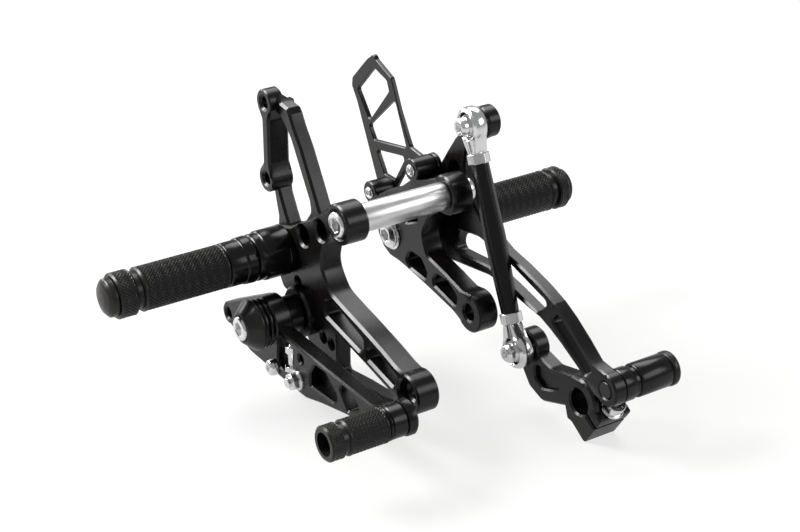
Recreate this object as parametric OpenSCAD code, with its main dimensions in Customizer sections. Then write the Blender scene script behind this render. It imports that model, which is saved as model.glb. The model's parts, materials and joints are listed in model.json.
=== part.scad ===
// Rear footrest set for a road motorcycle: brake side, cross tube and shift side.
// X runs from the brake side to the shift side, Y runs backwards and Z runs up.
// Outlines are written as [forward, up] in mm from the axis of the brake footpeg.

/* [Plates] */
// Thickness of the brake side plate
plate_t = 12; // [10:0.5:14]
// Thickness of the shift side plate
shift_t = 11; // [9:0.5:12]
// Thickness of the heel guard
guard_t = 2.5; // [2:0.5:3]
// Diameter of the frame bolt holes at the arm ends
frame_hole_d = 8.4; // [8.2:0.1:8.8]
// Diameter of the two master cylinder bolt holes
cylinder_hole_d = 6.2; // [6:0.1:6.6]

/* [Cross tube] */
// Outside diameter of the cross tube
tube_d = 14; // [12:0.5:16]
// Length of the cross tube between the plates
tube_len = 48; // [44:1:70]
// Diameter of the bosses that hold the tube
boss_d = 20.2; // [19:0.2:22]

/* [Footpegs] */
// Diameter of the knurled grips
grip_d = 22; // [20:0.5:24]
// Length of the knurled grip on the brake side
grip_len = 45.5; // [40:0.5:60]
// Length of the knurled grip on the shift side
shift_grip_len = 45; // [40:0.5:60]

/* [Pedals] */
// Thickness of the brake pedal arm
pedal_t = 8; // [6:0.5:8]
// Thickness of the shift lever
lever_t = 7; // [5.5:0.5:7]
// Diameter of the toe pegs
toe_d = 17; // [15:0.5:18]
// Diameter of the push rod hole in the pedal tab
tab_hole_d = 6; // [5:0.1:6.4]

/* [Shift linkage] */
// Diameter of the rod end eyes
eye_d = 18; // [17:0.5:19]
// Diameter of the gear shaft bore in the clamp arm
shaft_bore_d = 13; // [12:0.5:14]

/* [Hidden] */
$fn = 64;
ARC = 4;
eps = 0.01;
peg = [0, 0];
tube = [50, 32.6];
pivot = [16.2, -27.2];
arm_end = [108.6, -30.1];
brake_toe = [123.2, -30.8];
tab_eye = [-23.2, -40.3];
upper_lug = [-17, 71.3];
lower_lug = [-17, 31.3];
shift_peg = [4, -6];
shift_end = [72.2, -21.4];
guard_rear = [-16.4, 9.1];
guard_front = [21.7, 35.5];
upper_eye = [57.1, 69.4];
lower_eye = [98.5, -33];
shift_toe = [158, -28];
clamp_hub = [139.6, -43.4];
run_gap = 0.05;
side_gap = 0.3;
web_x = 4;
shift_x = plate_t + tube_len;
shift_back = shift_x + shift_t;
rod_x = shift_x + 11;
lever_x = shift_back + 5;
lever_back = lever_x + lever_t;
peg_neck = 26.5;
grip_x = lever_back + 3 + peg_neck;
pedal_x = -13 - pedal_t;
hub_r = 12.6;
rod_mid = 5.5;
rod_tip = 4.5;
neck_l = 13.7;
nut_t = 5;
gap_floor = -47;
screw_f = 34.6;
bush_r = 7;

// The origin is the frame bolt hole of the brake plate, at the face that meets the frame.
module rig() {
  translate([-plate_t, arm_end.x, -arm_end.y]) children();
}

function unit(v) = v / norm(v);

// Points of a rounded corner at b, between a and c
function corner(a, b, c, r) =
  let (u = unit(a - b), w = unit(c - b), half = acos(u * w) / 2)
  let (mid = b + unit(u + w) * r / sin(half), s = b + u * r / tan(half) - mid, e = b + w * r / tan(half) - mid)
  let (a0 = atan2(s.y, s.x), turn = ((atan2(e.y, e.x) - a0 + 540) % 360) - 180)
  [for (i = [0:ARC]) mid + r * [cos(a0 + turn * i / ARC), sin(a0 + turn * i / ARC)]];

// Rounded outline from corners written as [forward, up, radius], anticlockwise
function outline(p) =
  let (n = len(p))
  [for (i = [0:n - 1])
    let (a = p[(i + n - 1) % n], b = p[i], c = p[(i + 1) % n])
    each b.z == 0 ? [[b.x, b.y]] : corner([a.x, a.y], [b.x, b.y], [c.x, c.y], b.z)];

// Flat part with straight sides
module slab(p, x0, x1) {
  translate([x0, 0, 0]) rotate([90, 0, 90]) linear_extrude(x1 - x0) mirror([1, 0]) polygon(p);
}

module round_x(at, r, x0, x1) {
  translate([x0, -at.x, at.y]) rotate([0, 90, 0]) cylinder(r = r, h = x1 - x0);
}

// Turned part: profile of [x, radius] points, closed along the axis
module turned(at, profile) {
  translate([0, -at.x, at.y]) rotate([0, 90, 0]) rotate_extrude()
    polygon([for (q = profile) [q.y, q.x]]);
}

// Ring with chamfers c between x0 and x1
module ring(at, r, ri, x0, x1, c) {
  turned(at, [[x0, ri], [x0, r - c], [x0 + c, r], [x1 - c, r], [x1, r - c], [x1, ri]]);
}

// Hexagon bar along X
module hex_x(at, across, x0, x1) {
  translate([x0, -at.x, at.y]) rotate([0, 90, 0]) cylinder(d = across / cos(30), h = x1 - x0, $fn = 6);
}

// Round head with a hexagon socket that opens at the low x end
module bolt_left(at, head_r, head_x, head_l, shank_r, end_x, socket) {
  difference() {
    union() {
      ring(at, head_r, 0, head_x, head_x + head_l, 0.8);
      round_x(at, shank_r, head_x + head_l - eps, end_x);
    }
    hex_x(at, socket, head_x - 1, head_x + head_l * 0.6);
  }
}

module cross_tube() {
  color("silver") rig() ring(tube, tube_d / 2, 4, plate_t, shift_x, 0.5);
}

module tube_bolt_brake() {
  color("lightgray") rig() bolt_left(tube, 6.5, -1.5, 7.5, 3.9, plate_t + 14, 6);
}

module tube_bolt_shift() {
  color("lightgray") rig() translate([shift_back + 4, 0, 0]) mirror([1, 0, 0])
    bolt_left(tube, 6.5, 0, 4, 3.9, shift_t + 18, 6);
}

BLOCK = outline([[-12.6, -8, 6], [-3.5, -23, 5], [30, -27.4, 0], [43, -27, 0], [61, -29, 8], [102, -36.4, 0],
  [108.6, -30.1, 0], [105, -20.6, 0], [99, -19.8, 0], [86.5, -16.3, 0], [69.2, -12.3, 0], [56, -9.6, 0],
  [42, -6.4, 12], [33.4, 4, 10], [37.5, 18, 10], [44.5, 26, 0], [50, 32.6, 0], [42.4, 38.4, 0], [34.6, 32.4, 0],
  [25.1, 26, 0], [15.5, 20.3, 0], [5.6, 14.2, 0], [-12.6, 8, 3]]);
LEGS = outline([[-12.4, 3, 0], [29, 25.4, 0], [19.1, 42.1, 0], [10.9, 55.7, 0], [4.2, 64.5, 0], [0.8, 70.2, 2.5],
  [-1.6, 72.8, 2], [-7.6, 73.4, 3], [-12.2, 76.1, 0], [-17, 74, 0], [-17, 27, 0], [-13.2, 12, 0]]);
LEG_WINDOW = outline([[-13.3, 66.3, 1], [-13.3, 30, 0], [-10.8, 24.8, 0], [-6, 16, 3], [-1, 8, 0], [12, 18, 0],
  [18.6, 26.5, 4], [17.3, 31.8, 4], [7.2, 48.1, 0], [1.4, 57.4, 5], [-1.4, 60.6, 4], [-8, 66.3, 3]]);
COLUMN = outline([[-23.4, 32, 0], [-10.6, 32, 0], [-13.3, 40, 4], [-13.3, 63, 4], [-10.6, 69, 0], [-23.4, 69, 0],
  [-19.6, 62, 4], [-19.6, 40, 4]]);
WEB = outline([[4, -22, 0], [6, -40, 6], [20, -50, 6], [36, -56.4, 0], [44, -56, 0], [63, -52.4, 0], [83, -50, 0],
  [101, -45.6, 3], [110, -33, 0], [104, -33, 0], [99, -40.4, 2], [82.6, -45.3, 0], [63, -47.6, 0],
  [42.3, -51, 1.5], [42.3, -26, 0]]);
SLOT_1 = outline([[37.2, -20.6, 1.5], [71.2, -26.7, 3], [71.2, -18.7, 1.5], [42.4, -10.3, 2], [37.4, -13.4, 1.5]]);
SLOT_2 = outline([[75, -27.2, 1], [97, -31.5, 2.5], [100.4, -29.6, 1], [100.2, -24.6, 1], [79.6, -19.5, 1.5],
  [75.1, -22.9, 1]]);
BRAKE_POCKETS = [[18, 14.1], [34.3, 23.3]];
BRAKE_HOLES = [[29.2, -37.5], [36.7, -37.9]];

module brake_plate() {
  color("dimgray") rig() difference() {
    union() {
      slab(BLOCK, 0, plate_t);
      ring(tube, boss_d / 2, 0, 0, plate_t, 0.8);
      ring(arm_end, 10, 0, 0, plate_t, 0.8);
      slab(WEB, web_x - 0.5, plate_t);
      slab(COLUMN, 0, plate_t);
      ring(lower_lug, 6.8, 0, 0, plate_t, 0.6);
      ring(upper_lug, 6.8, 0, 0, 8, 0.6);
      difference() {
        slab(LEGS, web_x, plate_t);
        slab(LEG_WINDOW, web_x - 1, plate_t + 1);
      }
      ring(pivot, 13, 0, -4, plate_t, 1.2);
    }
    round_x(upper_lug, 8, 8, plate_t + 1);
    round_x(tube, 6.8, -1, 6);
    round_x(tube, 4.2, 5, plate_t + 1);
    round_x(arm_end, frame_hole_d / 2, -1, plate_t + 1);
    round_x(arm_end, 7.2, -1, 4);
    round_x(upper_lug, cylinder_hole_d / 2, -1, plate_t + 1);
    round_x(lower_lug, cylinder_hole_d / 2, -1, plate_t + 1);
    round_x(pivot, 4, -5, plate_t + 1);
    round_x(peg, 5, -1, plate_t + 1);
    slab(SLOT_1, -1, plate_t + 1);
    slab(SLOT_2, -1, plate_t + 1);
    for (p = BRAKE_POCKETS)
      turned(p, [[-1, 0], [-1, 7.3], [1.2, 5.3], [7, 5.3], [7, 0]]);
    for (p = BRAKE_HOLES)
      round_x(p, 2.5, web_x - 2, plate_t + 1);
    round_x([12, -13.4], 2.5, -1, 8);
  }
}

module brake_peg_sleeve() {
  color("dimgray") rig() difference() {
    union() {
      turned(peg, [[-20, 0], [-20, 10.6], [-18.8, 11.8], [-15.4, 11.8], [-14.6, 12.5], [-1, 12.5], [0, 11.5], [0, 0]]);
      round_x(peg, 4.95, -1, plate_t - 1);
    }
    for (side = [-1, 1])
      translate([-16.4, side * 16 - 5, -20]) cube([13, 10, 40]);
  }
}

module brake_peg_ring() {
  color("dimgray") rig() turned(peg, [[-35.2, 0], [-35.2, 10.4], [-34.4, 11.1], [-26.6, 11.1], [-26.2, 11.6],
    [-21, 11.9], [-20, 11.2], [-20, 0]]);
}

module knurled_grip(at, x0, x1, r, c) {
  difference() {
    ring(at, r, 0, x0, x1, c);
    turned(at, [[x0 - 1, 0], [x0 - 1, 4.3], [x1 + 1, 4.3], [x1 + 1, 0]]);
  }
}

module brake_peg_grip() {
  color("dimgray") rig() knurled_grip(peg, -35.2 - grip_len, -35.2, grip_d / 2, 0.8);
}

module brake_peg_collar() {
  color("dimgray") rig() translate([-35.2 - grip_len, 0, 0]) difference() {
    turned(peg, [[-12.8, 7.6], [-12.8, 10.6], [-12, 11.35], [-4.2, 11.35], [-3.4, 10.6], [-3.3, 9.1], [0, 9.1],
      [0, 4.3], [-9, 4.3], [-9, 7.6]]);
  }
}

module brake_peg_cap() {
  color("gray") rig() translate([-35.2 - grip_len, 0, 0])
    turned(peg, [[-19, 0], [-18.7, 4], [-17.6, 7.4], [-16, 9.4], [-13.2, 9.7], [-12.8, 9.2], [-12.8, 7.4], [-9.2, 7.4],
      [-9.2, 4], [0, 4], [0, 0]]);
}

module pivot_bush() {
  color("silver") rig() ring(pivot, bush_r, 4.1, -22.4, -4, 0.4);
}

module pivot_spacer() {
  color("dimgray") rig() ring(pivot, 12.4, 4.1, -24.6, -22.4, 0.5);
}

module pivot_washer() {
  color("dimgray") rig() ring(pivot, 12.6, 4.1, -27.4, -25, 0.5);
  color("dimgray") rig() ring(pivot, 10.6, 4.1, -25, -24.6, 0);
}

module pivot_cap() {
  color("gray") rig() turned(pivot, [[-35, 6.6], [-35, 7.4], [-34.6, 8], [-29.4, 12.6], [-28.4, 13], [-27.4, 12.6],
    [-27.4, 4.1], [-31.4, 4.1], [-31.4, 6.6]]);
}

module pivot_bolt() {
  color("lightgray") rig() bolt_left(pivot, 6.1, -36.5, 5.1, 3.95, plate_t - 1, 6);
}

PEDAL = outline([[-21.6, -46.1, 0], [-1.6, -52.4, 10], [52.4, -52.8, 14], [66.4, -48.8, 0], [89, -43.6, 0],
  [112, -39, 0], [123, -37.5, 0], [123, -23, 0], [110, -27.2, 0], [24, -27, 0], [16, -14.8, 0], [8, -17, 0],
  [-8, -25.4, 0], [-25.4, -34.6, 0], [-23.2, -40.3, 0]]);
PEDAL_GAP = outline([[27.4, -30, 2], [26, gap_floor, 3], [41, gap_floor, 2], [42, -30, 2]]);
PEDAL_POCKET = outline([[61.6, -30.4, 1.5], [57.4, -37, 2], [57.2, -43.6, 1.5], [78, -42.4, 3], [81.8, -40.2, 1.2],
  [81.3, -36.4, 2], [72, -30, 3]]);
PEDAL_WINDOW = outline([[84.2, -31.8, 1], [91.6, -40.8, 1.5], [101.6, -34.9, 1.5], [96, -29.4, 1.5], [87, -29.4, 1]]);

module brake_pedal() {
  color("dimgray") rig() difference() {
    union() {
      slab(PEDAL, pedal_x, -13);
      ring(pivot, hub_r, 0, pedal_x - 1, -12.6, 0.8);
      ring(pivot, 9.5, 0, pedal_x, -4 - side_gap, 0.6);
      ring(tab_eye, 6, 0, pedal_x, -13, 0.8);
      ring(brake_toe, 8, 0, pedal_x, -13, 0.8);
      turned(brake_toe, [[-13, 0], [-13, 8.2], [-12, 8.7], [-9, 8.7], [-8, 7.7], [-8, 0]]);
    }
    round_x(pivot, bush_r + run_gap, -30, 1);
    round_x(tab_eye, tab_hole_d / 2, -30, 1);
    round_x(brake_toe, 4, -30, 1);
    slab(PEDAL_GAP, pedal_x - 1, -12);
    slab(PEDAL_POCKET, pedal_x - 1, pedal_x + 6);
    slab(PEDAL_WINDOW, pedal_x - 1, -12);
    round_x([49, -33], 2.4, -30, 1);
    round_x(BUTTON, 2, pedal_x - 1, pedal_x + 6);
    translate([-17, -screw_f, gap_floor - 8]) cylinder(r = 2.45, h = 10);
  }
}

module brake_toe_base() {
  color("dimgray") rig() difference() {
    turned(brake_toe, [[-21 - 1.6, 0], [-22.6, 7.6], [-22, 8.2], [-21 - eps, 8.2], [-21 - eps, 0]]);
    round_x(brake_toe, 4, -30, 1);
  }
}

module brake_toe_grip() {
  color("dimgray") rig() difference() {
    turned(brake_toe, [[-43.6, 0], [-43.6, 7.6], [-42.8, toe_d / 2], [-23.4, toe_d / 2], [-22.6, 7.8], [-22.6, 0]]);
    round_x(brake_toe, 4, -50, 1);
  }
}

module brake_toe_rim() {
  color("gray") rig() difference() {
    turned(brake_toe, [[-53, 0], [-53, 7.6], [-52.2, 8.5], [-46.4, 8.5], [-45.8, 7.4], [-43.6, 7.4], [-43.6, 0]]);
    round_x(brake_toe, 5.6, -54, -47);
    round_x(brake_toe, 4, -50, -40);
  }
}

// Stop screw that stands upright in the pedal gap, held by the floor of the gap
module stop_screw() {
  color("lightgray") rig() translate([-17, -screw_f, gap_floor]) difference() {
    union() {
      translate([0, 0, -5.4]) cylinder(r = 2.4, h = 20);
      translate([0, 0, 10]) cylinder(r = 3.6, h = 4);
    }
    translate([0, 0, 12.4]) cylinder(r = 1.6, h = 4, $fn = 6);
  }
}

module stop_nut() {
  color("lightgray") rig() translate([-17, -screw_f, gap_floor]) difference() {
    cylinder(r = 4.4, h = 3, $fn = 6);
    translate([0, 0, -1]) cylinder(r = 2.45, h = 5);
  }
}

BUTTON = [23.7, -49];
STUD = [46, -45.6];
module stop_stud() {
  color("lightgray") rig() union() {
    round_x(STUD, 2.5, -27.5, pedal_x);
    hex_x(STUD, 8, -25.6, -22.2);
  }
}

module stop_button() {
  color("lightgray") rig() difference() {
    union() {
      turned(BUTTON, [[-25, 0], [-25, 2.6], [-24.2, 3.8], [-22.8, 4.2], [pedal_x, 4.2], [pedal_x, 0]]);
      round_x(BUTTON, 1.95, pedal_x - eps, pedal_x + 5.9);
    }
    hex_x(BUTTON, 2.5, -26, -23.2);
  }
}

module stop_washer() {
  color("lightgray") rig() ring(STUD, 5.3, 2.6, -22.2, pedal_x, 0.2);
}

SHIFT_BODY = outline([[-9, -10.5, 5], [-3.6, -16.6, 0], [2.5, -19.2, 0], [11, -19.2, 0], [21.1, -20.4, 0],
  [40.2, -23.2, 0], [57.7, -26.2, 0], [66, -28.4, 0], [72.2, -21.4, 0], [74, -11.4, 0], [65.2, -12.1, 0],
  [53.1, -9, 0], [35.6, -5.4, 6], [31.2, 5, 9], [38, 17, 12], [46, 22.6, 0], [50, 32.6, 0], [42, 38.8, 0],
  [34.2, 34.8, 0], [22, 30.6, 0], [11.9, 23, 0], [2.7, 18.4, 0], [-12, 9.4, 5]]);
SHIFT_SLOT_A = outline([[17.4, -15.4, 1.5], [21.2, -18.2, 1.5], [35.2, -19.4, 2], [35.7, -14.6, 1.5], [31, -9.4, 2.5],
  [20.4, -9.4, 2.5]]);
SHIFT_SLOT_B = outline([[42, -19, 1.5], [61.4, -23, 2], [62.2, -16.8, 2], [54.1, -12.2, 2.5], [44.2, -12.4, 2],
  [41.8, -16, 1]]);
SHIFT_POCKET = outline([[15, 4.4, 1], [27, 9.6, 1], [27.6, 12.4, 1], [17, 8, 1]]);

module shift_plate() {
  color("dimgray") rig() difference() {
    union() {
      slab(SHIFT_BODY, shift_x, shift_back);
      ring(tube, boss_d / 2, 0, shift_x, shift_back, 0.8);
      ring(shift_end, 10.2, 0, shift_x, shift_back, 0.8);
      ring(shift_peg, 12.6, 0, shift_x, shift_back, 0.8);
      ring(guard_rear, 6, 0, shift_x, shift_back, 0.5);
      ring(guard_front, 6, 0, shift_x, shift_back, 0.5);
    }
    round_x(tube, 4.2, shift_x - 1, shift_back + 1);
    round_x(shift_end, frame_hole_d / 2, shift_x - 1, shift_back + 1);
    round_x(shift_peg, 5.05, shift_x - 1, shift_back + 1);
    round_x(guard_rear, 2.6, shift_x - 1, shift_back + 1);
    round_x(guard_front, 2.6, shift_x - 1, shift_back + 1);
    slab(SHIFT_SLOT_A, shift_x - 1, shift_back + 1);
    slab(SHIFT_SLOT_B, shift_x - 1, shift_back + 1);
    slab(SHIFT_POCKET, shift_x - 1, shift_x + 5);
  }
}

module peg_bolt() {
  color("lightgray") rig() difference() {
    union() {
      turned(shift_peg, [[shift_x - 4, 0], [shift_x - 4, 4], [shift_x - 2.4, 7], [shift_x - 1, 7.2],
        [shift_x - 1, 8.2], [shift_x, 8.2], [shift_x, 0]]);
      round_x(shift_peg, 5, shift_x - eps, lever_back + 6);
    }
    hex_x(shift_peg, 6, shift_x - 5, shift_x - 1.4);
  }
}

GUARD = outline([[-29.5, 9.5, 4], [-25, 4.5, 0], [-12, 4.5, 0], [-11, 10.5, 0], [1.6, 30.4, 3], [20, 30.4, 0],
  [24, 38, 0], [12, 36.8, 3], [2, 38, 3], [-8, 54.2, 0], [-13.4, 65.6, 2], [-15.4, 69.4, 2], [-29.6, 75, 2],
  [-31.6, 77.4, 2], [-38.4, 72.4, 2], [-52.4, 58.4, 2], [-53, 53.6, 2], [-48, 46.5, 0]]);
GUARD_WINDOW_1 = outline([[-47.4, 53.4, 1.5], [-36, 39.6, 2], [-17.6, 61.6, 1.5], [-19.6, 66.6, 1.5],
  [-31.4, 69.9, 1.5]]);
GUARD_WINDOW_2 = outline([[-36.4, 36.8, 2], [-31.6, 30.2, 1.5], [-1.4, 36.2, 1], [-12.2, 59, 2]]);
GUARD_WINDOW_3 = outline([[-29.4, 25.6, 1.5], [-21.8, 14.6, 1], [-12.4, 14.6, 1.5], [-2, 31.2, 1.5]]);

module heel_guard() {
  color("dimgray") rig() difference() {
    union() {
      slab(GUARD, shift_back + 1.5, shift_back + 1.5 + guard_t);
      round_x(guard_rear, 6, shift_back + 1.5, shift_back + 1.5 + guard_t);
      round_x(guard_front, 6, shift_back + 1.5, shift_back + 1.5 + guard_t);
    }
    for (w = [GUARD_WINDOW_1, GUARD_WINDOW_2, GUARD_WINDOW_3])
      slab(w, shift_back, shift_back + 6);
    round_x(guard_rear, 2.6, shift_back, shift_back + 6);
    round_x(guard_front, 2.6, shift_back, shift_back + 6);
  }
}

module guard_spacers() {
  color("gray") for (p = [guard_rear, guard_front])
    rig() ring(p, 5.2, 2.6, shift_back, shift_back + 1.5, 0.2);
}

module guard_screws() {
  color("lightgray") for (p = [guard_rear, guard_front])
    rig() difference() {
      union() {
        turned(p, [[shift_x - 1.4, 0], [shift_x - 1.4, 2], [shift_x - 0.7, 3], [shift_x, 3.3], [shift_x, 0]]);
        round_x(p, 2.5, shift_x - eps, shift_back + 1.5 + guard_t);
      }
      hex_x(p, 2.5, shift_x - 3, shift_x + 0.8);
    }
}

module lever_bush() {
  color("silver") rig() ring(shift_peg, bush_r, 5.05, shift_back, lever_back + 3, 0.4);
}

LEVER = outline([[-4, -19, 0], [3, -21, 0], [16, -17, 0], [29.1, -13.8, 10], [66.9, -8, 0], [84.3, -10, 0],
  [108.3, -13, 0], [116.2, -15.8, 0], [124.1, -19.2, 0], [137.4, -26, 0], [150, -34.5, 0], [158, -35, 0],
  [158, -20, 0], [148, -18.6, 0], [138.6, -11.8, 0], [128, -5, 0], [119, -0.4, 6], [107.5, 3.6, 0],
  [91.5, 7.6, 0], [78, 10, 0], [62, 16, 14], [48, 30, 14], [44, 41, 10], [45.4, 53, 8], [62, 64, 0], [57.1, 69.4, 0],
  [50.4, 66.4, 0], [36.3, 54.7, 12], [29.7, 45.5, 0], [20, 31, 0], [10, 6, 20], [-6, -1, 0]]);
LEVER_WINDOW_1 = outline([[37, -5.6, 3], [66, -3, 0], [84, -6, 0], [106, -11, 2], [113.8, -3, 2], [82, 5.4, 0],
  [57, 9, 0], [41, 6.6, 3]]);
LEVER_WINDOW_2 = outline([[116, -10, 2], [144, -27.4, 2], [148, -23.4, 2], [136, -14.4, 0], [121, -5.6, 2.5]]);
LEVER_POCKET = outline([[27, 18, 3], [40, 14, 4], [41, 30, 5], [39.4, 42, 3], [33, 42, 3]]);

module shift_lever() {
  color("dimgray") rig() difference() {
    union() {
      slab(LEVER, lever_x, lever_back);
      ring(shift_peg, 13.4, 0, shift_back + side_gap + guard_t + 1.5, lever_back + 3 - side_gap, 0.8);
      ring(upper_eye, 7.8, 0, lever_x, lever_back, 0.8);
      ring(shift_toe, 8.2, 0, lever_x, lever_back, 0.8);
    }
    round_x(shift_peg, bush_r + run_gap, shift_back - 1, lever_back + 6);
    round_x(upper_eye, 3.1, lever_x - 1, lever_back + 1);
    round_x(shift_toe, 4.1, lever_x - 1, lever_back + 1);
    slab(LEVER_WINDOW_1, lever_x - 1, lever_back + 1);
    slab(LEVER_WINDOW_2, lever_x - 1, lever_back + 1);
    slab(LEVER_POCKET, lever_x - 1, lever_x + 4);
  }
}

module shift_peg_sleeve() {
  color("dimgray") rig() translate([lever_back + 3, 0, 0]) difference() {
    turned(shift_peg, [[0, 0], [0, 11.5], [1, 12.5], [12, 12.5], [13, 11.8], [15.6, 11.8], [16.6, 11], [peg_neck, 11], [peg_neck, 0]]);
    round_x(shift_peg, 5.05, -1, 5);
    round_x(shift_peg, 4.3, 14, 40);
  }
}

module shift_peg_grip() {
  color("dimgray") rig() translate([grip_x, 0, 0]) knurled_grip(shift_peg, 0, shift_grip_len, grip_d / 2, 0.8);
}

module shift_peg_collar() {
  color("dimgray") rig() translate([grip_x + shift_grip_len, 0, 0])
    turned(shift_peg, [[0, 4.3], [0, 9.1], [3.3, 9.1], [3.4, 10.6], [4.2, 11.35], [8.6, 11.35], [9.4, 10.6],
      [9.4, 4.3]]);
}

module shift_peg_cap() {
  color("gray") rig() translate([grip_x + shift_grip_len, 0, 0]) difference() {
    turned(shift_peg, [[-20, 0], [-20, 4.2], [9.4, 4.2], [9.4, 9.6], [11.6, 9.6], [13, 8], [13.8, 4], [14, 0]]);
    hex_x(shift_peg, 5, 11, 20);
  }
}

module shift_toe_base() {
  color("dimgray") rig() difference() {
    turned(shift_toe, [[lever_back, 0], [lever_back, 8.2], [lever_back + 6, 8.2], [lever_back + 7, 7.2],
      [lever_back + 9, 7.2], [lever_back + 9, 0]]);
    round_x(shift_toe, 4.1, lever_back - 1, lever_back + 20);
  }
}

module shift_toe_sleeve() {
  color("dimgray") rig() translate([lever_back + 9, 0, 0]) difference() {
    ring(shift_toe, toe_d / 2 - 0.3, 0, 0, 19, 0.8);
    round_x(shift_toe, 4.1, -1, 30);
  }
}

module shift_toe_rim() {
  color("gray") rig() translate([lever_back + 28, 0, 0]) difference() {
    union() {
      ring(shift_toe, toe_d / 2, 0, 0, 4, 0.8);
      round_x(shift_toe, 4, -35, eps);
    }
    hex_x(shift_toe, 5, 1, 6);
  }
}

// Spherical rod end: a turned eye and a tapered neck that ends in a threaded stem
module rod_end(from, to) {
  len_rod = norm(to - from);
  tilt = atan2(to.x - from.x, from.y - to.y);
  translate([rod_x, -from.x, from.y]) rotate([-tilt, 0, 0]) difference() {
    union() {
      rotate([0, 90, 0]) rotate_extrude()
        polygon([[0, -4], [eye_d / 2 - 2, -4], [eye_d / 2 - 0.6, -3], [eye_d / 2, -1.4], [eye_d / 2, 1.4],
          [eye_d / 2 - 0.6, 3], [eye_d / 2 - 2, 4], [0, 4]]);
      rotate([90, 0, 90]) linear_extrude(6.4, center = true)
        polygon([[-3.6, -neck_l], [3.6, -neck_l], [eye_d * 0.36, -5], [-eye_d * 0.36, -5]]);
      translate([0, 0, -neck_l]) cylinder(r1 = 3.8, r2 = 4.6, h = neck_l - 6);
      translate([0, 0, -26]) cylinder(r = 2.9, h = 16);
    }
    rotate([0, 90, 0]) rotate_extrude()
      polygon([[0, -7], [6.9, -7], [6.9, -4.2], [6.2, -3], [6.4, -1], [6.4, 1], [6.2, 3], [6.9, 4.2], [6.9, 7], [0, 7]]);
  }
}

module eye_ball(at) {
  translate([rod_x, -at.x, at.y]) rotate([0, 90, 0]) rotate_extrude()
    polygon([[3.1, -4.6], [4.4, -4.6], [5.4, -3], [6, -1.5], [6.15, 0], [6, 1.5], [5.4, 3], [4.4, 5], [3.1, 5]]);
}

module upper_rod_end() {
  color("lightgray") rig() rod_end(upper_eye, lower_eye);
}

module upper_ball() {
  color("silver") rig() eye_ball(upper_eye);
}

module ball_bolt(at) {
  difference() {
    union() {
      turned(at, [[rod_x - 8, 0], [rod_x - 8, 3.4], [rod_x - 6.6, 4.6], [rod_x - 4.6, 4.8], [rod_x - 4.6, 0]]);
      round_x(at, 3, rod_x - 4.7, lever_back);
    }
    hex_x(at, 4, rod_x - 9, rod_x - 6);
  }
}

module upper_ball_bolt() {
  color("lightgray") rig() ball_bolt(upper_eye);
}

// Rod body between the two rod ends, six flats, thicker in the middle
module shift_rod() {
  len_rod = norm(lower_eye - upper_eye);
  tilt = atan2(lower_eye.x - upper_eye.x, upper_eye.y - lower_eye.y);
  color("dimgray") rig() translate([rod_x, -upper_eye.x, upper_eye.y]) rotate([-tilt, 0, 0]) difference() {
    hull() {
      translate([0, 0, -len_rod / 2]) rotate([0, 0, 30])
        cylinder(r1 = rod_mid, r2 = rod_tip, h = len_rod / 2 - neck_l - nut_t, $fn = 6);
      translate([0, 0, -len_rod + neck_l + nut_t]) rotate([0, 0, 30])
        cylinder(r1 = rod_tip, r2 = rod_mid, h = len_rod / 2 - neck_l - nut_t, $fn = 6);
    }
    translate([0, 0, -len_rod]) cylinder(r = 3, h = len_rod);
  }
}

module rod_lock_nuts() {
  len_rod = norm(lower_eye - upper_eye);
  tilt = atan2(lower_eye.x - upper_eye.x, upper_eye.y - lower_eye.y);
  color("lightgray") rig() translate([rod_x, -upper_eye.x, upper_eye.y]) rotate([-tilt, 0, 0])
    for (z = [-neck_l - nut_t, neck_l - len_rod])
      translate([0, 0, z]) difference() {
        rotate([0, 0, 30]) cylinder(d = 9.6 / cos(30), h = nut_t, $fn = 6);
        translate([0, 0, -1]) cylinder(r = 3, h = nut_t + 2);
      }
}

module lower_rod_end() {
  color("lightgray") rig() rod_end(lower_eye, upper_eye);
}

module lower_ball() {
  color("silver") rig() eye_ball(lower_eye);
}

module lower_ball_bolt() {
  color("lightgray") rig() ball_bolt(lower_eye);
}

CLAMP_ARM = outline([[89.6, -36, 0], [96.6, -47, 3], [101.6, -53, 4], [112, -56.6, 6], [129, -50.6, 0],
  [139.6, -43.4, 0], [143, -32, 0], [133, -31.9, 8], [118, -35.4, 6], [107.6, -33, 0], [98.5, -33, 0]]);
CLAMP_EAR = outline([[128, -46, 0], [131.4, -56.4, 1.5], [135, -56.8, 1], [144.8, -63, 1], [156.1, -46, 0.8],
  [146.4, -39.6, 0], [139.6, -43.4, 0]]);
CLAMP_POCKET = outline([[106, -46.4, 2], [112, -49.6, 2], [124, -45, 2], [124, -38.6, 2], [114, -39.4, 3],
  [105, -39, 2]]);
pinch_dir = 33.5;
clamp_w = 19;

module clamp_arm() {
  color("dimgray") rig() difference() {
    union() {
      slab(CLAMP_ARM, lever_x, lever_x + 8);
      ring(lower_eye, 9, 0, lever_x, lever_x + 8, 0.8);
      ring(clamp_hub, 12.4, 0, lever_x, lever_x + clamp_w, 1);
      slab(CLAMP_EAR, lever_x, lever_x + clamp_w);
    }
    round_x(clamp_hub, shaft_bore_d / 2, lever_x - 1, lever_x + clamp_w + 1);
    round_x(lower_eye, 3.1, lever_x - 1, lever_x + 10);
    slab(CLAMP_POCKET, lever_x - 1, lever_x + 2.4);
    translate([lever_x - 1, -clamp_hub.x, clamp_hub.y]) rotate([pinch_dir, 0, 0])
      translate([0, -30, -0.8]) cube([clamp_w + 2, 30, 1.6]);
    translate([lever_x + 9.5, -clamp_hub.x, clamp_hub.y]) rotate([pinch_dir, 0, 0])
      translate([0, -11, -30]) cylinder(r = 3.1, h = 60);
    translate([lever_x + 9.5, -clamp_hub.x, clamp_hub.y]) rotate([pinch_dir, 0, 0])
      translate([-6, -18, 6.9]) cube([clamp_w, 12.8, 12]);
  }
}

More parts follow.
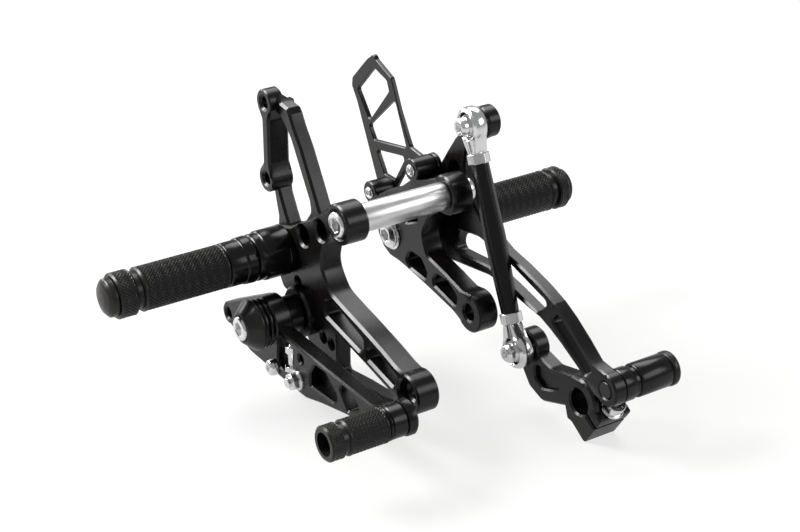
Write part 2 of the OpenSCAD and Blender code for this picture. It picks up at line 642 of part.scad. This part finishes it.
module pinch_bolt() {
  color("lightgray") rig() translate([lever_x + 9.5, -clamp_hub.x, clamp_hub.y]) rotate([pinch_dir, 0, 0])
    translate([0, -11, 0]) difference() {
      union() {
        translate([0, 0, 6.9]) cylinder(r = 5.6, h = 1.2);
        translate([0, 0, 8]) cylinder(r = 4.8, h = 5);
        translate([0, 0, -7]) cylinder(r = 3, h = 15);
      }
      translate([0, 0, 10]) cylinder(d = 5 / cos(30), h = 4, $fn = 6);
    }
}

cross_tube();
tube_bolt_brake();
tube_bolt_shift();
brake_plate();
brake_peg_sleeve();
brake_peg_ring();
brake_peg_grip();
brake_peg_collar();
brake_peg_cap();
pivot_bush();
pivot_spacer();
pivot_washer();
pivot_cap();
pivot_bolt();
brake_pedal();
brake_toe_base();
brake_toe_grip();
brake_toe_rim();
stop_screw();
stop_nut();
stop_stud();
stop_washer();
stop_button();
shift_plate();
peg_bolt();
heel_guard();
guard_spacers();
guard_screws();
lever_bush();
shift_lever();
shift_peg_sleeve();
shift_peg_grip();
shift_peg_collar();
shift_peg_cap();
shift_toe_base();
shift_toe_sleeve();
shift_toe_rim();
upper_rod_end();
upper_ball();
upper_ball_bolt();
shift_rod();
rod_lock_nuts();
lower_rod_end();
lower_ball();
lower_ball_bolt();
clamp_arm();
pinch_bolt();
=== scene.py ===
# %% [markdown]
# # A rear footrest set, step by step
#
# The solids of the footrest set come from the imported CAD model, and this lesson gives
# them their looks: black anodised plates, bright zinc bolts, a satin tube and knurled
# grips that are made as real geometry. All sizes are metres. X runs from the brake side
# to the shift side, Y runs backwards and Z runs up. The origin is the frame bolt hole.

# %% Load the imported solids
import bmesh
import bpy
import json
import math
import numpy as np
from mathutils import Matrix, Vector
from mathutils.bvhtree import BVHTree

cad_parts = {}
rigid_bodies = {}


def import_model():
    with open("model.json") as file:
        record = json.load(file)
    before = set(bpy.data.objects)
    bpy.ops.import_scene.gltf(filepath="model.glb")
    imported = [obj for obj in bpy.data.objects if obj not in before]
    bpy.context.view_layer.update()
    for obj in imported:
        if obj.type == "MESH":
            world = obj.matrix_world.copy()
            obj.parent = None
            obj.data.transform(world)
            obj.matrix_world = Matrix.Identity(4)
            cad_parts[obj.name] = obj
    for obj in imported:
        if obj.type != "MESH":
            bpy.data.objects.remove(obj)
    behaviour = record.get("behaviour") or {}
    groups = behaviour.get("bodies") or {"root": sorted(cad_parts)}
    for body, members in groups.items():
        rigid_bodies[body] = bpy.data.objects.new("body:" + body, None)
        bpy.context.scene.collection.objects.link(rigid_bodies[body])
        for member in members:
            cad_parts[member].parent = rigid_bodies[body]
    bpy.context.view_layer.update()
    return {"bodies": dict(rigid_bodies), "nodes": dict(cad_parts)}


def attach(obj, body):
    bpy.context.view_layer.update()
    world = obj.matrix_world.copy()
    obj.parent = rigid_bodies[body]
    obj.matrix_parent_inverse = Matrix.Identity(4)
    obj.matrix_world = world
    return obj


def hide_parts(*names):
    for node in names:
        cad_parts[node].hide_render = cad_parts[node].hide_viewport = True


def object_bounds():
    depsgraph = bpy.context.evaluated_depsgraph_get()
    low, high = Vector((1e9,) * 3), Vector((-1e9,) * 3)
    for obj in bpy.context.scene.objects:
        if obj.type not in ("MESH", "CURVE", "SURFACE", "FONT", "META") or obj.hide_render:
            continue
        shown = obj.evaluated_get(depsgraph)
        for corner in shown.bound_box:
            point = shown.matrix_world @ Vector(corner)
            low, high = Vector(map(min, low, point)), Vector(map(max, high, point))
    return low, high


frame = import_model()
print("nodes:", len(frame["nodes"]))

# %% [markdown]
# ## Places
#
# Every place is written in millimetres as it stands in the drawing, forward and up from
# the brake footpeg, and one function turns it into the shared frame in metres.

# %% Places shared with the drawing
MM = 0.001
PLATE_T = 12.0
ARM_END = (108.6, -30.1)
PEG = (0.0, 0.0)
BRAKE_TOE = (123.2, -30.8)
SHIFT_PEG = (4.0, -6.0)
CAMERA_AT = (-402.736, 716.479, 401.654)
CAMERA_DOWN, CAMERA_RIGHT = 26.64, 33.3
MIDDLE = (50.0, 40.0, 0.0)


def place(x, forward, up):
    """A point of the drawing in the shared frame, in metres."""
    return ((x - PLATE_T) * MM, (ARM_END[0] - forward) * MM, (up - ARM_END[1]) * MM)


# %% [markdown]
# ## The camera
#
# The photograph was taken from the front left and above with a long lens. The camera
# stands at a fixed place and looks 26.6 degrees down and 33.3 degrees to the right.

# %% Camera
camera_data = bpy.data.cameras.new("camera")
camera_data.lens = 83.25
camera_data.sensor_width = 36.0
camera_data.clip_start = 0.05
camera_data.clip_end = 20.0
camera = bpy.data.objects.new("camera", camera_data)
camera.location = place(*CAMERA_AT)
camera.rotation_euler = (math.radians(90 - CAMERA_DOWN), 0.0, math.radians(-CAMERA_RIGHT))
bpy.context.scene.collection.objects.link(camera)
bpy.context.scene.camera = camera
print("camera at", [round(v, 3) for v in camera.location])

# %% [markdown]
# ## A small helper for shader maths
#
# A wrapped socket can be added, multiplied and compared with plain signs, so that a
# material reads like a formula. One method makes any other node.


# %% Shader helper
class Wire:
    """A socket of a node tree with arithmetic signs."""

    def __init__(self, tree, socket):
        self.tree, self.socket = tree, socket

    def maths(self, operation, *others):
        node = self.tree.nodes.new("ShaderNodeMath")
        node.operation = operation
        for i, value in enumerate((self,) + others):
            if isinstance(value, Wire):
                self.tree.links.new(value.socket, node.inputs[i])
            else:
                node.inputs[i].default_value = value
        return Wire(self.tree, node.outputs[0])

    def __add__(self, other):
        return self.maths("ADD", other)

    __radd__ = __add__

    def __mul__(self, other):
        return self.maths("MULTIPLY", other)

    def __sub__(self, other):
        return self.maths("SUBTRACT", other)

    def clamp(self, low, high):
        return self.maths("MAXIMUM", low).maths("MINIMUM", high)


class Paint:
    """A material in the making: makes nodes and links them to the shader."""

    def __init__(self, name):
        self.material = bpy.data.materials.new(name)
        self.material.use_nodes = True
        self.tree = self.material.node_tree
        self.shader = self.tree.nodes["Principled BSDF"]

    def node(self, kind, settings=None, output=0, **sockets):
        """Any node: its type, its settings, then its sockets by name, as values or wires."""
        made = self.tree.nodes.new(kind)
        for key, value in (settings or {}).items():
            setattr(made, key, value)
        for key, value in sockets.items():
            socket = made.inputs[key.replace("_", " ")]
            if isinstance(value, Wire):
                self.tree.links.new(value.socket, socket)
            else:
                socket.default_value = value
        return Wire(self.tree, made.outputs[output])

    def place(self):
        return self.node("ShaderNodeTexCoord", output=3)

    def noise(self, scale, detail=3.0, rough=0.55, along=None):
        """Noise in the object's own coordinates, stretched by the three numbers in along."""
        where = self.place()
        if along:
            where = self.node("ShaderNodeMapping", Vector=where, Scale=along)
        settings = {"Vector": where, "Scale": scale, "Detail": detail, "Roughness": rough}
        return self.node("ShaderNodeTexNoise", **settings)

    def give(self, **inputs):
        for key, value in inputs.items():
            socket = self.shader.inputs[key.replace("_", " ")]
            if isinstance(value, Wire):
                self.tree.links.new(value.socket, socket)
            else:
                socket.default_value = value

    def bump(self, height, strength, distance):
        bumped = self.node("ShaderNodeBump", Height=height, Strength=strength, Distance=distance)
        self.give(Normal=bumped)

    def blend(self, share, dark, light):
        """A colour between dark and light by the share from 0 to 1."""
        mix = self.tree.nodes.new("ShaderNodeMix")
        mix.data_type = "RGBA"
        self.tree.links.new(share.socket, mix.inputs["Factor"])
        mix.inputs["A"].default_value = (*dark, 1.0)
        mix.inputs["B"].default_value = (*light, 1.0)
        return Wire(self.tree, mix.outputs["Result"])


# %% [markdown]
# ## Materials
#
# Black anodising is a thin dyed skin on machined aluminium: it is nearly black, with a
# soft sheen and faint brush lines that run along the plate. Zinc is bright and a little
# cloudy. The tube is plain satin aluminium with fine turning lines round it.


# %% Anodised aluminium
def anodised(name, colour, rough, line_scale=(300.0, 300.0, 40.0), grain=0.05):
    paint = Paint(name)
    cloud = paint.noise(90.0, 4.0)
    lines = paint.noise(9.0, 2.0, 0.6, line_scale)
    darker = tuple(v * 0.8 for v in colour)
    paint.give(
        Base_Color=paint.blend((cloud * 1.6 - 0.3).clamp(0.0, 1.0), darker, colour),
        Roughness=(rough + (cloud - 0.5) * 0.14).clamp(0.05, 1.0),
        Metallic=0.0,
        Specular_IOR_Level=0.34,
    )
    paint.bump(lines, grain, 0.00012)
    return paint.material


black_plate = anodised("black_plate", (0.0050, 0.0043, 0.0040), 0.27)
black_turned = anodised("black_turned", (0.0050, 0.0043, 0.0040), 0.22, (900.0, 40.0, 40.0))
black_knurl = anodised("black_knurl", (0.014, 0.0130, 0.0122), 0.30, (60.0, 60.0, 60.0))
black_cap = anodised("black_cap", (0.021, 0.0195, 0.0185), 0.30, (600.0, 60.0, 60.0))


# %% Bright metals
def bare_metal(name, colour, rough, line_scale, grain):
    paint = Paint(name)
    cloud = paint.noise(160.0, 4.0)
    lines = paint.noise(11.0, 2.0, 0.6, line_scale)
    darker = tuple(v * 0.86 for v in colour)
    paint.give(
        Base_Color=paint.blend((cloud * 2.0 - 0.5).clamp(0.0, 1.0), darker, colour),
        Roughness=(rough + (cloud - 0.5) * 0.12).clamp(0.04, 1.0),
        Metallic=1.0,
    )
    paint.bump(lines, grain, 0.0001)
    return paint.material


satin_tube = bare_metal("satin_tube", (0.90, 0.90, 0.91), 0.34, (1200.0, 30.0, 30.0), 0.08)
zinc = bare_metal("zinc", (0.93, 0.935, 0.94), 0.20, (80.0, 80.0, 80.0), 0.05)
polished = bare_metal("polished", (0.80, 0.80, 0.80), 0.12, (80.0, 80.0, 80.0), 0.02)
print("materials:", len(bpy.data.materials))

# %% [markdown]
# ## Finishes of the solids
#
# Each solid gets its finish. The lists below say which are bright zinc, which are
# polished, and which are the end caps, whose bead blasted skin is a little greyer. They
# also say how wide a chamfer each plate gets and which pieces are knurled.

# %% Finish of each solid
ZINC = ["tube_bolt_brake", "tube_bolt_shift", "pivot_bolt", "stop_screw", "stop_nut", "stop_stud",
        "stop_washer", "stop_button", "peg_bolt", "guard_screws", "upper_rod_end", "upper_ball_bolt",
        "rod_lock_nuts", "lower_rod_end", "lower_ball_bolt", "pinch_bolt"]
POLISHED = ["pivot_bush", "lever_bush", "upper_ball", "lower_ball"]
RIMMED = {"brake_plate": 1.2, "brake_pedal": 0.9, "shift_plate": 1.0, "shift_lever": 0.9,
          "clamp_arm": 0.9, "heel_guard": 0.4}
KNURLED = ["brake_peg_grip", "shift_peg_grip", "brake_toe_grip", "brake_peg_collar", "shift_peg_collar",
           "brake_toe_rim"]
KNURL_STEP, KNURL_FADE, ON_RIM = 0.2, 0.4, 0.01
EDGE_BREAK = 0.3
SHARP, SMOOTH = math.radians(35), math.radians(30)
MERGE, OFF_SOLID = 0.002 * MM, 0.02 * MM
CAPS = ["brake_peg_cap", "pivot_cap", "shift_peg_cap", "shift_toe_rim"]


def finish_of(name):
    if name == "cross_tube":
        return satin_tube
    if name in ZINC:
        return zinc
    if name in POLISHED:
        return polished
    if name in CAPS:
        return black_cap
    if name in RIMMED or name == "shift_rod":
        return black_plate
    return black_turned


for name, solid in frame["nodes"].items():
    solid.data.materials.clear()
    solid.data.materials.append(finish_of(name))
print("finished solids:", len(frame["nodes"]))

# %% [markdown]
# ## Chamfered edges
#
# On the real plates a cutter runs round every rim and leaves a narrow chamfer that catches
# the light, and the turned and forged pieces have their sharp edges broken. The mesh of a
# solid is loose triangles, so a copy is merged first. A plate gets its chamfer along the
# edges between a flat face across X and a wall along X, and every other piece along each
# sharp outer edge. A point that the bevel throws off the solid is put back on it.


# %% Chamfered copy of a solid
def is_rim(edge):
    """Whether an edge runs between a flat face across X and a wall along X."""
    first, second = (abs(face.normal.x) for face in edge.link_faces)
    return max(first, second) > 0.99 and min(first, second) < 0.1


def chamfered(name, width):
    """The solid's surface with a flat of the given width, in millimetres, along its edges."""
    shape = bmesh.new()
    shape.from_mesh(frame["nodes"][name].data)
    bmesh.ops.remove_doubles(shape, verts=shape.verts, dist=MERGE)
    bmesh.ops.dissolve_degenerate(shape, dist=MERGE / 2, edges=shape.edges)
    solid = BVHTree.FromBMesh(shape)
    outer = [edge for edge in shape.edges if len(edge.link_faces) == 2 and edge.is_convex]
    if name in RIMMED:
        cut = [edge for edge in outer if is_rim(edge)]
    else:
        cut = [edge for edge in outer if edge.calc_face_angle() > SHARP]
    bmesh.ops.bevel(shape, geom=cut, offset=width * MM, offset_type="OFFSET", segments=1, profile=0.5,
                    affect="EDGES", clamp_overlap=False)
    for point in shape.verts:
        spot, normal, index, distance = solid.find_nearest(point.co)
        if distance > OFF_SOLID:
            point.co = spot
    for face in shape.faces:
        face.smooth = True
    for edge in shape.edges:
        edge.smooth = len(edge.link_faces) == 2 and edge.calc_face_angle(0.0) < SMOOTH
    mesh = bpy.data.meshes.new(name + "_finished")
    shape.to_mesh(mesh)
    shape.free()
    made = bpy.data.objects.new(name + "_finished", mesh)
    bpy.context.scene.collection.objects.link(made)
    return made


def body_of(name):
    """The body that carries a solid."""
    return next(body for body, empty in frame["bodies"].items() if frame["nodes"][name].parent == empty)


def stands_for(piece, name, finish):
    """Lets a piece stand for a solid, with its finish, on the body that carries the solid."""
    piece.data.materials.append(finish)
    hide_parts(name)
    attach(piece, body_of(name))


faces = 0
for name in frame["nodes"]:
    if name not in KNURLED:
        piece = chamfered(name, RIMMED.get(name, EDGE_BREAK))
        stands_for(piece, name, finish_of(name))
        faces += len(piece.data.polygons)
print("chamfered faces:", faces)

# %% [markdown]
# ## Knurled grips
#
# A knurl is a net of two sets of spiral grooves. A grip is an outline turned round its
# axis. Inside the knurled band the radius drops by the groove depth wherever one of the
# two spirals passes, so that small four-sided points stay standing.


# %% Surfaces as functions
def grid_mesh(name, points):
    """A closed mesh from a grid of points: rows follow the outline, columns go round the axis."""
    rows, columns = points.shape[:2]
    mesh = bpy.data.meshes.new(name)
    index = np.arange(rows * columns).reshape(rows, columns)
    below = np.roll(index, -1, axis=0)
    quads = np.stack([index, np.roll(index, -1, axis=1), np.roll(below, -1, axis=1), below], axis=-1)
    mesh.from_pydata(points.reshape(-1, 3).tolist(), [], quads.reshape(-1, 4).tolist())
    mesh.update()
    made = bpy.data.objects.new(name, mesh)
    bpy.context.scene.collection.objects.link(made)
    return made


def knurled(name, axis, outline, band, starts, depth, around):
    """The outline, points of x and radius, turned round the axis, with a knurl in the band of x."""
    widest = max(r for x, r in outline)
    xs, rs = [], []
    for (x0, r0), (x1, r1) in zip(outline, outline[1:] + outline[:1]):
        knurl_here = r0 == r1 == widest
        steps = int(abs(x1 - x0) / KNURL_STEP) if knurl_here else 1
        share = np.arange(steps) / steps
        xs.append(x0 + (x1 - x0) * share)
        rs.append(r0 + (r1 - r0) * share)
    xs, rs = np.concatenate(xs)[:, None], np.concatenate(rs)[:, None]
    turn = np.linspace(0, 2 * math.pi, around, endpoint=False)[None, :]
    lead = xs / (2 * math.pi * widest)
    spirals = [(turn / (2 * math.pi) + sign * lead) * starts for sign in (1, -1)]
    groove = np.maximum(*[1 - 2 * np.abs(spiral % 1.0 - 0.5) for spiral in spirals])
    fade = np.clip(np.minimum(xs - band[0], band[1] - xs) / KNURL_FADE, 0, 1) * (rs > widest - ON_RIM)
    rs = rs - depth * groove * fade
    cx, cy, cz = place(0, axis[0], axis[1])
    rows = [cx + xs * MM + 0 * turn, cy + rs * MM * np.cos(turn), cz + rs * MM * np.sin(turn)]
    return grid_mesh(name, np.stack(rows, axis=-1))


def grip_outline(x0, x1, radius, bore, chamfer):
    """The outline of a plain grip with a bore and two chamfers."""
    return [(x0, bore), (x0, radius - chamfer), (x0 + chamfer, radius), (x1 - chamfer, radius),
            (x1, radius - chamfer), (x1, bore)]


# %% Grips and knurled collars
LEFT, LEFT_END = -80.7, -35.2
RIGHT_START, RIGHT = 112.5, 157.5
TOE_LEFT, TOE_RIGHT = -43.6, -22.6
PEG_R, PEG_BORE, PEG_STARTS, PEG_AROUND = 11.0, 4.35, 36, 360
TOE_R, TOE_BORE, TOE_STARTS, TOE_AROUND = 8.5, 4.05, 30, 300
CHAMFER, BARE_END = 0.8, 1.2
BRAKE_COLLAR = [(-12.8, 7.6), (-12.8, 10.6), (-12.0, 11.35), (-4.2, 11.35), (-3.4, 10.6), (-3.3, 9.1),
                (0.0, 9.1), (0.0, 4.3), (-9.0, 4.3), (-9.0, 7.6)]
SHIFT_COLLAR = [(0.0, 4.3), (0.0, 9.1), (3.3, 9.1), (3.4, 10.6), (4.2, 11.35), (8.6, 11.35), (9.4, 10.6),
                (9.4, 4.3)]
TOE_RIM = [(-53.0, 5.6), (-53.0, 7.6), (-52.2, 8.5), (-46.4, 8.5), (-45.8, 7.4), (-43.6, 7.4), (-43.6, 4.0),
           (-47.0, 4.0), (-47.0, 5.6)]


def grip(axis, x0, x1, radius, bore, starts, depth, around):
    """What knurled() needs for a plain grip from x0 to x1."""
    outline = grip_outline(x0, x1, radius, bore, CHAMFER)
    return axis, outline, (x0 + BARE_END, x1 - BARE_END), starts, depth, around


def collar(axis, outline, at, band, starts, depth, around):
    """What knurled() needs for an outline that is moved along X to at."""
    return axis, [(at + x, r) for x, r in outline], (at + band[0], at + band[1]), starts, depth, around


GRIPS = {
    "brake_peg_grip": grip(PEG, LEFT, LEFT_END, PEG_R, PEG_BORE, PEG_STARTS, 0.50, PEG_AROUND),
    "shift_peg_grip": grip(SHIFT_PEG, RIGHT_START, RIGHT, PEG_R, PEG_BORE, PEG_STARTS, 0.50, PEG_AROUND),
    "brake_toe_grip": grip(BRAKE_TOE, TOE_LEFT, TOE_RIGHT, TOE_R, TOE_BORE, TOE_STARTS, 0.42, TOE_AROUND),
    "brake_peg_collar": collar(PEG, BRAKE_COLLAR, LEFT, (-11.9, -4.3), PEG_STARTS, 0.42, PEG_AROUND),
    "brake_toe_rim": collar(BRAKE_TOE, TOE_RIM, 0.0, (-52.0, -46.6), TOE_STARTS, 0.32, TOE_AROUND),
    "shift_peg_collar": collar(SHIFT_PEG, SHIFT_COLLAR, RIGHT, (4.3, 8.5), PEG_STARTS, 0.42, PEG_AROUND),
}
for name, sizes in GRIPS.items():
    piece = knurled(name + "_knurled", *sizes)
    stands_for(piece, name, black_knurl)
    print(piece.name, len(piece.data.polygons), "faces")

# %% [markdown]
# ## Studio
#
# The photograph is a studio shot on white. Black metal shows little of its own colour: it
# shows what it mirrors. So the room is dim, and one soft box stands where each kind of
# face mirrors it: behind at the left for the chamfers, behind at the right for the top
# faces, at the front right for the faces that look forward, and low behind for the cones.
# The floor adds a little light of its own for the camera and for mirrored rays, which
# keeps the shadows faint.

# %% Floor
FLOOR_HALF, FLOOR_GAP = 6.0, 0.0002
floor_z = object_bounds()[0].z - FLOOR_GAP
floor_mesh = bpy.data.meshes.new("floor")
corners = [(x * FLOOR_HALF, y * FLOOR_HALF, floor_z) for x, y in ((-1, -1), (1, -1), (1, 1), (-1, 1))]
floor_mesh.from_pydata(corners, [], [(0, 1, 2, 3)])
floor = bpy.data.objects.new("floor", floor_mesh)
bpy.context.scene.collection.objects.link(floor)
paper = Paint("white_paper")
paper.give(Base_Color=(0.23, 0.23, 0.228, 1.0), Roughness=0.7, Specular_IOR_Level=0.2)
paper.give(Emission_Color=(1.0, 1.0, 0.995, 1.0))
seen = paper.node("ShaderNodeLightPath")
mirrored = paper.node("ShaderNodeLightPath", output=3)
paper.give(Emission_Strength=seen * 0.72 + mirrored * 0.40)
floor.data.materials.append(paper.material)
print("floor at", round(floor_z, 4))

# %% Backdrop
world = bpy.data.worlds.new("studio")
bpy.context.scene.world = world
world.use_nodes = True
tree = world.node_tree
path = tree.nodes.new("ShaderNodeLightPath")
level = tree.nodes.new("ShaderNodeMix")
level.data_type = "RGBA"
level.inputs["A"].default_value = (0.30, 0.30, 0.30, 1.0)
level.inputs["B"].default_value = (1.0, 1.0, 1.0, 1.0)
tree.links.new(path.outputs["Is Camera Ray"], level.inputs["Factor"])
tree.links.new(level.outputs["Result"], tree.nodes["Background"].inputs["Color"])
tree.nodes["Background"].inputs["Strength"].default_value = 1.0


# %% Soft boxes
def soft_box(name, direction, distance, size, radiance):
    """A soft box that looks at the middle of the set. Its power is radiance times pi times area."""
    data = bpy.data.lights.new(name, "AREA")
    data.shape = "RECTANGLE"
    data.size, data.size_y = size
    data.energy = radiance * math.pi * size[0] * size[1]
    made = bpy.data.objects.new(name, data)
    middle = Vector(place(*MIDDLE))
    spot = middle + Vector(direction).normalized() * distance
    made.location = spot
    made.rotation_euler = (middle - spot).to_track_quat("-Z", "Y").to_euler()
    bpy.context.scene.collection.objects.link(made)
    print(name, "power", round(data.energy, 1))


soft_box("chamfer_light", (-0.60, 0.55, 0.60), 1.3, (0.60, 0.50), 26.0)
soft_box("top_light", (0.45, 0.50, 0.80), 1.4, (1.0, 0.8), 4.0)
soft_box("front_light", (0.50, -0.75, 0.50), 1.5, (0.9, 0.6), 3.2)
soft_box("back_light", (-0.20, 0.95, 0.28), 1.5, (0.8, 0.35), 7.0)
bpy.context.scene.view_settings.view_transform = "Standard"
